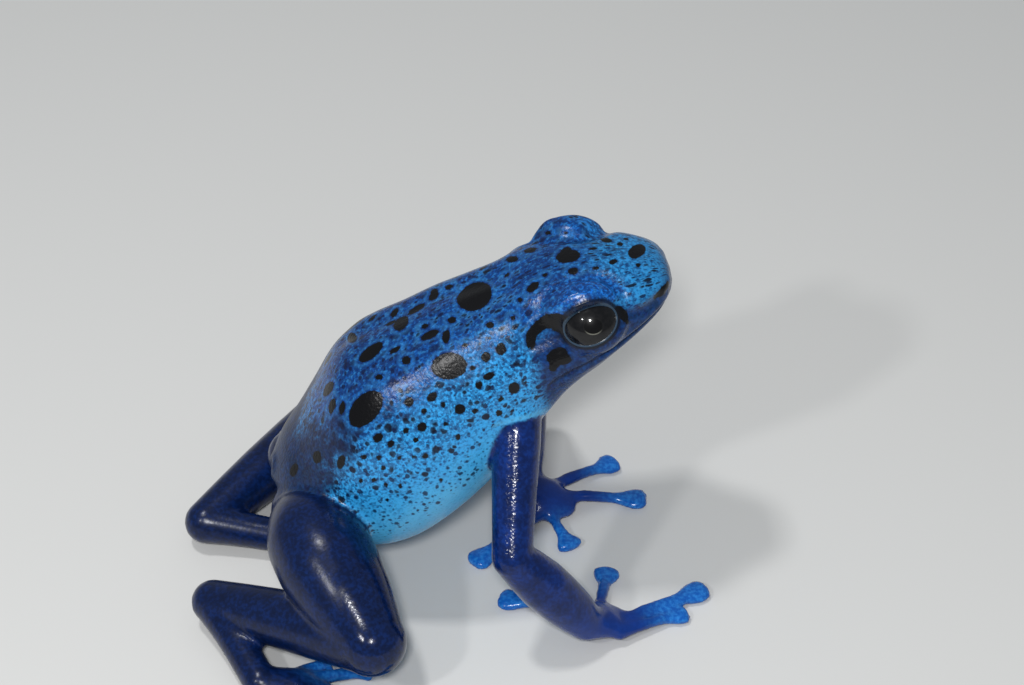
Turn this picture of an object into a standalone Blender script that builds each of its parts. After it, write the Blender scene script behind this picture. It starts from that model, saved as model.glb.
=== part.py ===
"""A poison dart frog at life size, sitting with its chest raised, facing +X.

The trunk and head are one loft that is parted at the neck. Each limb is a chain of
rounded segments that meet at flat joints. The lengths below are in millimetres.
"""

import bmesh
import bpy
import numpy as np
from mathutils import Vector

# Scale and spacing
MM = 0.001
GAP = 0.3
WELD = 0.002
FLOOR = 0.0
CENTRE_X = -7.94
CENTRE_Y = -2.42

# Ring counts, which set how fine each solid is
BODY_SIDES = 32
BODY_RINGS_BETWEEN = 2
LIMB_SIDES = 16
LIMB_CAP_RINGS = 3
SLAB_CAP_RINGS = 2
LIMB_RINGS = 8
DIGIT_SIDES = 10
EYE_SIDES = 24
EYE_RINGS = 14

# The trunk from the vent forward: top x, top z, bottom x, bottom z, half width,
# share of the height at which it is widest, and the squareness of back and belly
TRUNK = [
    (-22.2, 11.6, -22.0, 9.2, 2.3, 0.5, 2.0, 2.0),
    (-21.3, 13.3, -20.8, 7.3, 4.5, 0.5, 2.0, 2.0),
    (-19.9, 15.4, -18.8, 5.6, 6.2, 0.5, 2.0, 2.0),
    (-18.5, 18.0, -16.2, 4.5, 7.4, 0.48, 2.1, 2.1),
    (-17.0, 20.9, -12.8, 4.2, 8.4, 0.46, 2.2, 2.1),
    (-15.5, 22.7, -9.6, 5.4, 8.8, 0.45, 2.2, 2.1),
    (-13.2, 24.1, -6.6, 7.9, 8.9, 0.45, 2.2, 2.1),
    (-10.8, 25.3, -3.8, 10.8, 8.5, 0.45, 2.2, 2.1),
    (-8.2, 26.7, -1.5, 13.7, 7.8, 0.45, 2.3, 2.1),
    (-5.5, 28.0, 0.3, 16.3, 7.1, 0.45, 2.3, 2.1),
    (-3.0, 29.2, 1.7, 18.4, 6.7, 0.45, 2.3, 2.1),
]

# The head from the neck to the snout, in the same terms
HEAD = [
    (-3.0, 29.2, 1.7, 18.4, 6.7, 0.45, 2.3, 2.1),
    (-0.8, 30.4, 2.7, 20.3, 6.7, 0.45, 2.4, 2.2),
    (1.6, 31.3, 3.9, 22.0, 6.6, 0.42, 2.3, 2.3),
    (4.0, 31.8, 5.5, 23.5, 6.1, 0.38, 2.3, 2.4),
    (6.2, 31.9, 7.2, 24.9, 5.4, 0.4, 2.4, 2.4),
    (8.2, 31.8, 8.9, 26.2, 4.4, 0.42, 2.5, 2.4),
    (9.9, 31.3, 10.2, 27.2, 3.3, 0.45, 2.5, 2.3),
    (10.9, 30.5, 11.0, 28.1, 2.0, 0.48, 2.3, 2.2),
]
VENT = (-22.6, 10.4)
SNOUT_TIP = (11.4, 29.3)

# Eyes, lids, nostrils and mouth
EYE_AT = (4.15, 4.4, 28.4)
EYE_RADIUS = 2.5
EYE_AXIS = (0.0, 1.0, 0.3)
LID_SHIFT = (-0.4, -0.1, 0.45)
LID_RADII = (3.55, 3.2, 3.15)
EYE_OPENING = (2.45, 2.4)
EYE_OPENING_TILT = np.radians(12)
OPENING_START = 0.6
OPENING_END = 5.6
OPENING_SPREAD = (0.9, 1.6)
NOSTRIL_AT = (10.1, 2.45, 29.6)
NOSTRIL_RADIUS = 0.4
NOSTRIL_SIDES = 10
NOSTRIL_RINGS = 6
MOUTH_LINE = [(13.0, 29.0), (10.8, 28.5), (8.6, 27.6), (5.4, 26.3), (2.6, 25.0), (0.4, 23.6)]
MOUTH_WIDTH = 0.3
MOUTH_DEPTH = 0.5
MOUTH_HALF_SPAN = 9.0

# Limb joints: x, y, z, with the frog's right side at -Y
HIP = (-20.4, 3.4, 8.6)
SHOULDER = (-1.95, 4.7, 18.8)
JOINTS = {
    "right": {
        "elbow": (-3.2, -13.5, 11.1),
        "wrist": (3.2, -13.1, 2.3),
        "knuckles": (5.6, -11.6, 1.1),
        "mid_thigh": (-18.9, -9.4, 9.6),
        "knee": (-15.2, -17.4, 6.5),
        "heel": (-28.2, -7.6, 2.5),
        "ankle": (-24.6, -16.4, 1.6),
        "sole": (-20.2, -17.6, 1.1),
    },
    "left": {
        "elbow": (0.4, 11.9, 9.1),
        "wrist": (-0.5, 4.1, 2.2),
        "knuckles": (2.8, 2.6, 1.1),
        "mid_thigh": (-15.8, 9.2, 6.4),
        "knee": (-15.2, 15.2, 4.0),
        "heel": (-28.6, 2.4, 2.3),
        "ankle": (-18.9, -0.6, 1.6),
        "sole": (-16.2, 2.4, 1.1),
    },
}
FINGER_TIPS = {
    "right": [(-3.0, -8.0), (5.9, -5.8), (13.4, -8.8), (11.5, -11.2)],
    "left": [(-5.0, -2.9), (3.1, -1.9), (9.8, 3.2), (8.0, 8.0)],
}
TOE_TIPS = {
    "right": [(-19.0, -14.0), (-15.9, -15.2), (-13.4, -18.4), (-11.2, -21.0), (-16.4, -21.8)],
    "left": [(-12.9, 1.6), (-11.6, 4.4), (-11.0, 6.8), (-10.9, 9.2), (-14.5, 7.8)],
}

# Limb thickness: radius at the first joint, at points along the segment, at the last joint
UPPER_ARM = (1.95, (1.9, 1.75, 1.65, 1.6), 1.6)
FOREARM = (1.65, (1.95, 2.15, 2.1, 1.9), 1.6)
THIGH = (2.4, (3.3, 4.1, 4.3, 3.8), 2.9)
SHANK = (2.8, (2.7, 2.6, 2.45, 2.2), 1.9)
TARSUS = (1.85, (1.65, 1.5, 1.45, 1.45), 1.45)
PALM = ((1.6, 1.85, 2.15, 2.2, 1.6), (1.5, 1.4, 1.2, 1.1, 0.8))
SOLE = ((1.45, 1.7, 2.0, 2.2, 1.6), (1.35, 1.25, 1.15, 1.1, 0.8))

# Digits: half widths and half heights from root to tip, and the height of the axis
FINGER_WIDTHS = (0.75, 0.66, 0.6, 0.6, 0.72, 1.1, 1.25, 1.12, 0.65)
FINGER_HEIGHTS = (0.7, 0.64, 0.56, 0.52, 0.52, 0.52, 0.52, 0.46, 0.3)
FINGER_AXIS = (1.05, 1.1, 1.05, 0.85, 0.62, 0.46, 0.42, 0.42, 0.38)
FINGER_SHARES = (0.0, 0.2, 0.42, 0.6, 0.72, 0.81, 0.9, 0.96, 1.0)
TOE_WIDTHS = (0.75, 0.66, 0.58, 0.56, 0.62, 0.85, 0.95, 0.85, 0.5)
TOE_HEIGHTS = (0.7, 0.62, 0.54, 0.5, 0.48, 0.46, 0.46, 0.42, 0.28)
TOE_AXIS = (1.0, 1.0, 0.9, 0.75, 0.58, 0.44, 0.4, 0.4, 0.36)
TOE_SHARES = (0.0, 0.25, 0.5, 0.7, 0.82, 0.89, 0.94, 0.98, 1.0)
DISK_SHARE = 0.9
DIGIT_POLE = 0.25
DIGIT_ROOT_SHARE = 0.6
FINGER_ROOT_SPREAD = 1.2
TOE_ROOT_SPREAD = 0.85

# Colours
AZURE = (0.03, 0.12, 0.42, 1.0)
NAVY = (0.008, 0.02, 0.11, 1.0)
BRIGHT_BLUE = (0.02, 0.09, 0.4, 1.0)
EYE_BLACK = (0.004, 0.005, 0.008, 1.0)


def clear_scene():
    for old in list(bpy.data.objects):
        bpy.data.objects.remove(old, do_unlink=True)


def collection(name):
    made = bpy.data.collections.new(name)
    bpy.context.scene.collection.children.link(made)
    return made


def material(name, colour, roughness):
    made = bpy.data.materials.new(name)
    made.use_nodes = True
    shader = made.node_tree.nodes["Principled BSDF"]
    shader.inputs["Base Color"].default_value = colour
    shader.inputs["Roughness"].default_value = roughness
    shader.inputs["Metallic"].default_value = 0.0
    made.diffuse_color = colour
    return made


def in_frame(points):
    """Points in millimetres round the frog, in metres round the middle of its footprint."""
    return (np.asarray(points, float) - (CENTRE_X, CENTRE_Y, FLOOR)) * MM


def smooth_rows(rows, between):
    """Rows of numbers with more rows put between them on a smooth curve."""
    rows = np.asarray(rows, float)
    ends = np.vstack([2 * rows[0] - rows[1], rows, 2 * rows[-1] - rows[-2]])
    made = []
    for a, b, c, d in zip(ends, ends[1:], ends[2:], ends[3:]):
        for step in range(between + 1):
            t = step / (between + 1)
            bend = 2 * a - 5 * b + 4 * c - d
            turn = 3 * b - a - 3 * c + d
            made.append(0.5 * (2 * b + (c - a) * t + bend * t**2 + turn * t**3))
    made.append(rows[-1])
    return np.array(made)


def loft(rings, first_pole=None, last_pole=None):
    """A closed bmesh through rings of equal length. An end without a pole is flat."""
    bm = bmesh.new()
    rows = [[bm.verts.new(p) for p in in_frame(ring)] for ring in rings]
    for row, after in zip(rows, rows[1:]):
        for i in range(len(row)):
            j = (i + 1) % len(row)
            bm.faces.new((row[i], row[j], after[j], after[i]))
    for row, pole in ((rows[0], first_pole), (rows[-1], last_pole)):
        if pole is None:
            bm.faces.new(row)
            continue
        tip = bm.verts.new(in_frame(pole))
        for i in range(len(row)):
            bm.faces.new((row[i], row[(i + 1) % len(row)], tip))
    bmesh.ops.recalc_face_normals(bm, faces=bm.faces)
    return bm


def power_wave(value, squareness):
    return np.sign(value) * np.abs(value) ** (2 / squareness)


def body_ring(row, grow=0.0):
    """One section of the trunk or head, in its tilted plane."""
    top_x, top_z, low_x, low_z, half_width, widest, back, belly = row
    top = np.array([top_x, 0.0, top_z])
    low = np.array([low_x, 0.0, low_z])
    upward = (top - low) / np.linalg.norm(top - low)
    height = np.linalg.norm(top - low)
    middle = low + upward * height * widest
    angles = np.linspace(0, 2 * np.pi, BODY_SIDES, endpoint=False)
    ring = []
    for angle in angles:
        above = np.sin(angle) >= 0
        reach = height * (1 - widest) if above else height * widest
        squareness = back if above else belly
        side = (half_width + grow) * power_wave(np.cos(angle), squareness)
        lift = (reach + grow) * power_wave(np.sin(angle), squareness)
        ring.append(middle + upward * lift + np.array([0.0, side, 0.0]))
    return np.array(ring)


def body_loft(rows, first_pole, last_pole, grow=0.0):
    rings = [body_ring(row, grow) for row in smooth_rows(rows, BODY_RINGS_BETWEEN)]
    poles = []
    for pole, ring in ((first_pole, rings[0]), (last_pole, rings[-1])):
        if pole is None:
            poles.append(None)
            continue
        point = np.array([pole[0], 0.0, pole[1]])
        outward = point - ring.mean(0)
        poles.append(point + outward / np.linalg.norm(outward) * grow)
    return loft(rings, *poles)


def frame_along(direction):
    """Two unit vectors square to a direction, the first one level."""
    direction = np.asarray(direction, float)
    level = np.cross((0.0, 0.0, 1.0), direction)
    level /= np.linalg.norm(level)
    upright = np.cross(direction, level)
    return level, upright / np.linalg.norm(upright)


def oval(centre, level, upright, half_width, half_height, sides):
    angles = np.linspace(0, 2 * np.pi, sides, endpoint=False)
    across = np.outer(np.cos(angles), level) * half_width
    return centre + across + np.outer(np.sin(angles), upright) * half_height


def cap_angles(rings):
    """Angles that space the rings of a round end from its pole to its rim."""
    return [ring / (rings + 1) * np.pi / 2 for ring in range(1, rings + 1)]


def limb_loft(path, radii, grow=0.0):
    """A limb segment through two or three points, with a round end at each joint."""
    way = smooth_rows(path, LIMB_RINGS // (len(path) - 1) - 1)
    first, along, last = radii
    profile = [first, *along, last]
    spots = np.linspace(0, 1, len(profile))
    turns = np.gradient(way, axis=0)
    turns /= np.linalg.norm(turns, axis=1)[:, None]
    stops = []
    for angle in cap_angles(LIMB_CAP_RINGS):
        reach = (first + grow) * np.cos(angle)
        stops.append((way[0] - turns[0] * reach, turns[0], (first + grow) * np.sin(angle)))
    for share, centre, turn in zip(np.linspace(0, 1, len(way)), way, turns):
        stops.append((centre, turn, np.interp(share, spots, profile) + grow))
    for angle in cap_angles(LIMB_CAP_RINGS):
        reach = (last + grow) * np.sin(angle)
        stops.append((way[-1] + turns[-1] * reach, turns[-1], (last + grow) * np.cos(angle)))
    rings = [oval(centre, *frame_along(turn), r, r, LIMB_SIDES) for centre, turn, r in stops]
    return loft(rings, way[0] - turns[0] * (first + grow), way[-1] + turns[-1] * (last + grow))


def slab_loft(start, end, widths, heights, grow=0.0):
    """A palm or sole: flat ovals along a short way, round at both ends."""
    start, end = np.array(start, float), np.array(end, float)
    direction = (end - start) / np.linalg.norm(end - start)
    level, upright = frame_along(direction)
    sizes = np.array([widths, heights]).T + grow
    back_reach, front_reach = direction * sizes[0][0], direction * sizes[-1][0]
    stops = [(start - back_reach * np.cos(a), sizes[0] * np.sin(a)) for a in cap_angles(SLAB_CAP_RINGS)]
    for share, size in zip(np.linspace(0, 1, len(sizes)), sizes):
        stops.append((start + (end - start) * share, size))
    stops += [(end + front_reach * np.sin(a), sizes[-1] * np.cos(a)) for a in cap_angles(SLAB_CAP_RINGS)]
    rings = [oval(centre, level, upright, *size, LIMB_SIDES) for centre, size in stops]
    return loft(rings, start - back_reach, end + front_reach)


def digit_loft(root, tip, widths, heights, axis, shares, grow=0.0):
    """A finger or toe: a thin rod that ends in a flat disk."""
    root, tip = np.array(root, float), np.array([*tip, 0.0])
    way = tip - (root[0], root[1], 0.0)
    direction = way / np.linalg.norm(way)
    level, _ = frame_along(direction)
    upright = np.array([0.0, 0.0, 1.0])
    rings = []
    for share, half_width, half_height, height in zip(shares, widths, heights, axis):
        centre = np.array([root[0], root[1], 0.0]) + way * share / DISK_SHARE
        centre[2] = height
        rings.append(oval(centre, level, upright, half_width + grow, half_height + grow, DIGIT_SIDES))
    first = rings[0].mean(0) - direction * (DIGIT_POLE + grow)
    last = rings[-1].mean(0) + direction * (DIGIT_POLE + grow)
    return loft(rings, first, last)


def slice_flat(bm, point, normal):
    """Keeps what lies behind a plane and closes the cut with a flat face."""
    geom = bm.verts[:] + bm.edges[:] + bm.faces[:]
    where = Vector(in_frame(point))
    bmesh.ops.bisect_plane(
        bm, geom=geom, dist=WELD * MM / 10, plane_co=where, plane_no=Vector(normal), clear_outer=True
    )
    rim = [e for e in bm.edges if e.is_boundary]
    if rim:
        bmesh.ops.holes_fill(bm, edges=rim, sides=0)
    bmesh.ops.recalc_face_normals(bm, faces=bm.faces)


def part_at_joint(bm, before, joint, after, keep_first):
    """Cuts a segment at the joint's halving plane, half the gap from it."""
    before, joint, after = (np.array(p, float) for p in (before, joint, after))
    into = (joint - before) / np.linalg.norm(joint - before)
    out = (after - joint) / np.linalg.norm(after - joint)
    normal = (into + out) / np.linalg.norm(into + out)
    if not keep_first:
        normal = -normal
    slice_flat(bm, joint - normal * GAP / 2, normal)


def add_object(name, bm, place, paint):
    mesh = bpy.data.meshes.new(name)
    bm.to_mesh(mesh)
    bm.free()
    made = bpy.data.objects.new(name, mesh)
    place.objects.link(made)
    if paint:
        mesh.materials.append(paint)
    mesh.shade_smooth()
    return made


def add_cutter(name, bm, place):
    made = add_object(name, bm, place, None)
    made.hide_render = True
    made.display_type = "WIRE"
    return made


def combine(target, others, operation):
    """Joins the others to the target or cuts them from it, and keeps the result."""
    for other in others:
        step = target.modifiers.new(other.name, "BOOLEAN")
        step.operation = operation
        step.solver = "EXACT"
        step.object = other
    bpy.context.view_layer.update()
    seen = target.evaluated_get(bpy.context.evaluated_depsgraph_get())
    mesh = bpy.data.meshes.new_from_object(seen)
    target.modifiers.clear()
    target.data = mesh
    keep_largest(mesh)


def keep_largest(mesh):
    """Drops every closed surface of a mesh but the largest."""
    bm = bmesh.new()
    bm.from_mesh(mesh)
    bmesh.ops.remove_doubles(bm, verts=bm.verts, dist=WELD * MM)
    left = set(bm.faces)
    pieces = []
    while left:
        piece = {left.pop()}
        edge_of_search = list(piece)
        while edge_of_search:
            face = edge_of_search.pop()
            for edge in face.edges:
                for other in edge.link_faces:
                    if other in left:
                        left.discard(other)
                        piece.add(other)
                        edge_of_search.append(other)
        pieces.append(piece)
    pieces.sort(key=lambda piece: sum(f.calc_area() for f in piece))
    for piece in pieces[:-1]:
        bmesh.ops.delete(bm, geom=list(piece), context="FACES")
    bmesh.ops.triangulate(bm, faces=bm.faces)
    bm.to_mesh(mesh)
    bm.free()


def ball(centre, radii, sides=EYE_SIDES, rings=EYE_RINGS):
    bm = bmesh.new()
    bmesh.ops.create_uvsphere(bm, u_segments=sides, v_segments=rings, radius=MM)
    bmesh.ops.scale(bm, verts=bm.verts, vec=Vector(np.ones(3) * radii))
    bmesh.ops.translate(bm, verts=bm.verts, vec=Vector(in_frame(centre)))
    return bm


def opening(side):
    """The oval way out of the eye socket, wider outwards."""
    centre = np.array(EYE_AT) * (1, side, 1)
    direction = np.array(EYE_AXIS) * (1, side, 1)
    direction /= np.linalg.norm(direction)
    level, upright = frame_along(direction)
    tilt = EYE_OPENING_TILT * side
    along = level * np.cos(tilt) + upright * np.sin(tilt)
    across = upright * np.cos(tilt) - level * np.sin(tilt)
    rings = []
    for reach, spread in zip((OPENING_START, OPENING_END), OPENING_SPREAD):
        half_width, half_height = (size * spread for size in EYE_OPENING)
        rings.append(oval(centre + direction * reach, along, across, half_width, half_height, EYE_SIDES))
    return loft(rings)


def mouth_cutter():
    """A thin bent sheet across the head at the line of the mouth."""
    half_width = MOUTH_WIDTH / 2
    corners = [(-MOUTH_HALF_SPAN, -half_width), (MOUTH_HALF_SPAN, -half_width),
               (MOUTH_HALF_SPAN, half_width), (-MOUTH_HALF_SPAN, half_width)]
    rings = [[(x, y, z + lift) for y, lift in corners] for x, z in MOUTH_LINE]
    return loft(rings)


def make_axis(parts, cutters, paints):
    """The torso and head, parted at the neck, and the eyes."""
    torso = body_loft(TRUNK, VENT, None)
    head = body_loft(HEAD, None, SNOUT_TIP)
    for bm, sign in ((torso, 1), (head, -1)):
        top_x, top_z, low_x, low_z = HEAD[0][:4]
        middle = np.array([(top_x + low_x) / 2, 0.0, (top_z + low_z) / 2])
        normal = np.array([top_z - low_z, 0.0, low_x - top_x])
        normal = sign * normal / np.linalg.norm(normal)
        slice_flat(bm, middle - normal * GAP / 2, normal)
    torso = add_object("torso", torso, parts, paints["azure"])
    head = add_object("head", head, parts, paints["azure"])
    keep_largest(torso.data)
    lids, removed = [], []
    core = add_cutter("head_core", body_loft(HEAD, None, SNOUT_TIP, -MOUTH_DEPTH), cutters)
    mouth = add_cutter("mouth", mouth_cutter(), cutters)
    combine(mouth, [core], "DIFFERENCE")
    for name, side in (("right", -1), ("left", 1)):
        centre = np.array(EYE_AT) * (1, side, 1)
        socket = EYE_RADIUS + GAP
        lid_at = centre + np.array(LID_SHIFT) * (1, side, 1)
        lids.append(add_cutter(f"lid_{name}", ball(lid_at, LID_RADII), cutters))
        removed.append(add_cutter(f"socket_{name}", ball(centre, socket), cutters))
        removed.append(add_cutter(f"opening_{name}", opening(side), cutters))
        nostril = np.array(NOSTRIL_AT) * (1, side, 1)
        pit = ball(nostril, NOSTRIL_RADIUS, NOSTRIL_SIDES, NOSTRIL_RINGS)
        removed.append(add_cutter(f"nostril_{name}", pit, cutters))
        add_object(f"{name}_eye", ball(centre, EYE_RADIUS), parts, paints["eye"])
    combine(head, lids, "UNION")
    combine(head, [*removed, mouth], "DIFFERENCE")


def make_arm(side, sign, parts, cutters, paints, trunk_grown):
    at = JOINTS[side]
    shoulder = np.array(SHOULDER) * (1, sign, 1)
    upper = limb_loft([shoulder, at["elbow"]], UPPER_ARM)
    part_at_joint(upper, shoulder, at["elbow"], at["wrist"], True)
    fore = limb_loft([at["elbow"], at["wrist"]], FOREARM)
    part_at_joint(fore, shoulder, at["elbow"], at["wrist"], False)
    part_at_joint(fore, at["elbow"], at["wrist"], at["knuckles"], True)
    hand = slab_loft(at["wrist"], at["knuckles"], *PALM)
    part_at_joint(hand, at["elbow"], at["wrist"], at["knuckles"], False)
    slice_flat(hand, (0, 0, FLOOR), (0, 0, -1))
    upper = add_object(f"{side}_upper_arm", upper, parts, paints["navy"])
    combine(upper, [trunk_grown], "DIFFERENCE")
    fore = add_object(f"{side}_forearm", fore, parts, paints["navy"])
    hand = add_object(f"{side}_hand", hand, parts, paints["navy"])
    for made in (fore, hand):
        keep_largest(made.data)
    grown = add_cutter(f"{side}_hand_grown", slab_loft(at["wrist"], at["knuckles"], *PALM, GAP), cutters)
    digits(f"{side}_finger", at["wrist"], at["knuckles"], FINGER_TIPS[side], FINGER_ROOT_SPREAD,
           [grown], (parts, cutters), paints["bright"],
           (FINGER_WIDTHS, FINGER_HEIGHTS, FINGER_AXIS, FINGER_SHARES))


def digits(name, back, front, tips, spread, keep_clear, places, paint, shape):
    """Fingers or toes that fan out of a palm or sole, each a node of its own."""
    parts, cutters = places
    back, front = np.array(back, float), np.array(front, float)
    way = front - back
    level, _ = frame_along(way / np.linalg.norm(way))
    middle = (len(tips) - 1) / 2
    side_of_first = np.sign(np.dot(np.array([*tips[0], 0.0]) - front, level))
    for number, tip in enumerate(tips):
        across = side_of_first * level * (middle - number) * spread
        root = back + way * DIGIT_ROOT_SHARE + across
        bm = digit_loft(root, tip, *shape)
        slice_flat(bm, (0, 0, FLOOR), (0, 0, -1))
        made = add_object(f"{name}_{number + 1}", bm, parts, paint)
        combine(made, keep_clear, "DIFFERENCE")
        grown = digit_loft(root, tip, *shape, GAP)
        keep_clear = [*keep_clear, add_cutter(f"{name}_{number + 1}_grown", grown, cutters)]


def make_leg(side, sign, parts, cutters, paints, trunk_grown):
    at = JOINTS[side]
    hip = np.array(HIP) * (1, sign, 1)
    thigh = limb_loft([hip, at["mid_thigh"], at["knee"]], THIGH)
    part_at_joint(thigh, at["mid_thigh"], at["knee"], at["heel"], True)
    shank = limb_loft([at["knee"], at["heel"]], SHANK)
    part_at_joint(shank, at["mid_thigh"], at["knee"], at["heel"], False)
    part_at_joint(shank, at["knee"], at["heel"], at["ankle"], True)
    tarsus = limb_loft([at["heel"], at["ankle"]], TARSUS)
    part_at_joint(tarsus, at["knee"], at["heel"], at["ankle"], False)
    part_at_joint(tarsus, at["heel"], at["ankle"], at["sole"], True)
    foot = slab_loft(at["ankle"], at["sole"], *SOLE)
    part_at_joint(foot, at["heel"], at["ankle"], at["sole"], False)
    for bm in (shank, tarsus, foot):
        slice_flat(bm, (0, 0, FLOOR), (0, 0, -1))
    thigh = add_object(f"{side}_thigh", thigh, parts, paints["navy"])
    combine(thigh, [trunk_grown], "DIFFERENCE")
    for name, bm in (("shank", shank), ("tarsus", tarsus), ("foot", foot)):
        made = add_object(f"{side}_{name}", bm, parts, paints["navy"])
        keep_largest(made.data)
    grown = add_cutter(f"{side}_foot_grown", slab_loft(at["ankle"], at["sole"], *SOLE, GAP), cutters)
    digits(f"{side}_toe", at["ankle"], at["sole"], TOE_TIPS[side], TOE_ROOT_SPREAD,
           [grown], (parts, cutters), paints["bright"],
           (TOE_WIDTHS, TOE_HEIGHTS, TOE_AXIS, TOE_SHARES))


def main():
    clear_scene()
    parts = collection("poison_dart_frog")
    cutters = collection("cutters")
    paints = {
        "azure": material("azure_skin", AZURE, 0.3),
        "navy": material("navy_skin", NAVY, 0.25),
        "bright": material("bright_blue_skin", BRIGHT_BLUE, 0.3),
        "eye": material("eye_black", EYE_BLACK, 0.05),
    }
    make_axis(parts, cutters, paints)
    trunk_grown = add_cutter("trunk_grown", body_loft(TRUNK, VENT, None, GAP), cutters)
    for side, sign in (("right", -1), ("left", 1)):
        make_arm(side, sign, parts, cutters, paints, trunk_grown)
        make_leg(side, sign, parts, cutters, paints, trunk_grown)


main()
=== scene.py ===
"""The looks of a poison dart frog: one wet, spotted skin and two glossy eyes.

Sizes and places are in millimetres in the frog's own frame, the one its solids are drawn
in. A finished mesh is brought to metres round the middle of the frog's footprint.
"""

import bmesh
import bpy
import numpy as np
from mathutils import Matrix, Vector
from mathutils.bvhtree import BVHTree
from mathutils.kdtree import KDTree


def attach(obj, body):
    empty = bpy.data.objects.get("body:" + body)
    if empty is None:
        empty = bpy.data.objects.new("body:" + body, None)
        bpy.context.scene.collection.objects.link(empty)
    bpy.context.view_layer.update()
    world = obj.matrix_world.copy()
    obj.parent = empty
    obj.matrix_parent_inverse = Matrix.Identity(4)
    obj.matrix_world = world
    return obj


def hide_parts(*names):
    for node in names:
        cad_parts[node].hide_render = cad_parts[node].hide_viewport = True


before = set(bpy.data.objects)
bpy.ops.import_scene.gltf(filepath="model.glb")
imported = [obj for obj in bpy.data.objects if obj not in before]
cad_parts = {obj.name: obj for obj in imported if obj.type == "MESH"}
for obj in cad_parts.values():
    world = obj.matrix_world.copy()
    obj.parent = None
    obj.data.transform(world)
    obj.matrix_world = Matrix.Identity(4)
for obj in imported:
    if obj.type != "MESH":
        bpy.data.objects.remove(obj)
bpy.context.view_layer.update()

# Scale and frame
MM = 0.001
MIDDLE = np.array([-7.94, -2.42, 0.0])
FAR_SIDE = np.array([1.0, -1.0, 1.0])
SEED = 7
SHEET_RADIUS = 8.0

# The camera, at the photograph's viewing angle
PHOTO_SIZE = (1024, 685)
AZIMUTH = np.radians(-6.0)
ELEVATION = np.radians(41.0)
DISTANCE = 260.0
AIM = np.array([0.0, 17.0, 8.0])
LENS = 100.0
SENSOR = 36.0
FOCAL = LENS / SENSOR * PHOTO_SIZE[0]

# Small lamps: place and sides in millimetres, and power in watts
LIGHTS = {
    "front": ((-32, -208, 228), (29, 29), 0.48),
    "side": ((-172, -156, 224), (19, 19), 0.17),
    "top": ((-90, 10, 300), (27, 27), 0.26),
}
LIGHT_AIM = (0, 0, 12)
STUDIO_TINT = (0.9, 0.95, 1.0, 1.0)
STUDIO_STRENGTH = 0.27

# How fine the skin is
VOXEL = 0.275
BODY_SIDES = 96
LIMB_SIDES = 48
DIGIT_SIDES = 24
BODY_STEPS = 8
LIMB_STEPS = 24
CAP_STEPS = 8
FIRST_ROUNDS = 6
LAST_ROUNDS = 3
SWELL = 0.52
# The head, which has finer squares: what lies further than this along a way up and forward
HEAD_WAY = (0.57, 0, 0.82)
HEAD_FROM = 24.0
# Each palm is smoothed further, wholly within the second distance of its middle
PALM_REACH = (3.8, 2.6)
PALM_ROUNDS = 22
PALM_SWELL = 0.25

# The body from the vent to the snout: top x, top z, bottom x, bottom z, half width,
# share of the height at which it is widest, and the squareness of back and belly
BODY = [
    (-22.5, 10.9, -22.4, 10.0, 1.1, 0.5, 2.0, 2.0),
    (-22.2, 11.6, -22.0, 9.2, 2.3, 0.5, 2.0, 2.0),
    (-21.3, 13.3, -20.8, 7.3, 4.5, 0.5, 2.0, 2.0),
    (-19.9, 15.4, -18.8, 5.6, 6.2, 0.5, 2.0, 2.0),
    (-18.5, 18.0, -16.2, 4.5, 7.4, 0.48, 2.1, 2.1),
    (-17.0, 20.9, -12.8, 4.2, 8.4, 0.46, 2.2, 2.1),
    (-15.5, 22.7, -9.6, 5.4, 8.8, 0.45, 2.2, 2.1),
    (-13.2, 24.1, -6.6, 7.9, 8.9, 0.45, 2.2, 2.1),
    (-10.8, 25.3, -3.8, 10.8, 8.5, 0.45, 2.2, 2.1),
    (-8.2, 26.7, -1.5, 13.7, 7.8, 0.45, 2.3, 2.1),
    (-5.5, 28.0, 0.3, 16.3, 7.1, 0.45, 2.3, 2.1),
    (-3.0, 29.2, 1.7, 18.4, 6.7, 0.45, 2.3, 2.1),
    (-0.8, 30.4, 2.7, 20.3, 6.7, 0.45, 2.4, 2.2),
    (1.6, 31.3, 3.9, 22.0, 6.6, 0.42, 2.3, 2.3),
    (4.0, 31.8, 5.5, 23.5, 6.1, 0.38, 2.3, 2.4),
    (6.2, 31.9, 7.2, 24.9, 5.4, 0.4, 2.4, 2.4),
    (8.2, 31.8, 8.9, 26.2, 4.4, 0.42, 2.5, 2.4),
    (9.9, 31.3, 10.2, 27.2, 3.3, 0.45, 2.5, 2.3),
    (10.9, 30.5, 11.0, 28.1, 2.0, 0.48, 2.3, 2.2),
    (11.3, 29.7, 11.3, 28.9, 0.8, 0.5, 2.0, 2.0),
]

# Limb joints, with the frog's right side at -Y
HIP = (-20.4, 3.4, 8.6)
SHOULDER = (-1.95, 5.5, 19.5)
JOINTS = {
    "right": {
        "elbow": (-3.2, -13.5, 11.1),
        "wrist": (3.2, -13.1, 2.3),
        "knuckles": (5.6, -11.6, 1.1),
        "mid_thigh": (-18.9, -9.4, 9.6),
        "knee": (-15.2, -17.4, 6.5),
        "heel": (-28.2, -7.6, 2.5),
        "ankle": (-24.6, -16.4, 1.6),
        "sole": (-20.2, -17.6, 1.1),
    },
    "left": {
        "elbow": (0.4, 11.9, 9.1),
        "wrist": (-0.5, 4.1, 2.2),
        "knuckles": (2.8, 2.6, 1.1),
        "mid_thigh": (-15.8, 9.2, 6.4),
        "knee": (-15.2, 15.2, 4.0),
        "heel": (-28.6, 2.4, 2.3),
        "ankle": (-18.9, -0.6, 1.6),
        "sole": (-16.2, 2.4, 1.1),
    },
}
FINGER_TIPS = {
    "right": [(-3.0, -8.0), (5.9, -5.8), (13.4, -8.8), (11.5, -11.2)],
    "left": [(-5.0, -2.9), (3.1, -1.9), (9.8, 3.2), (8.0, 8.0)],
}
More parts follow.
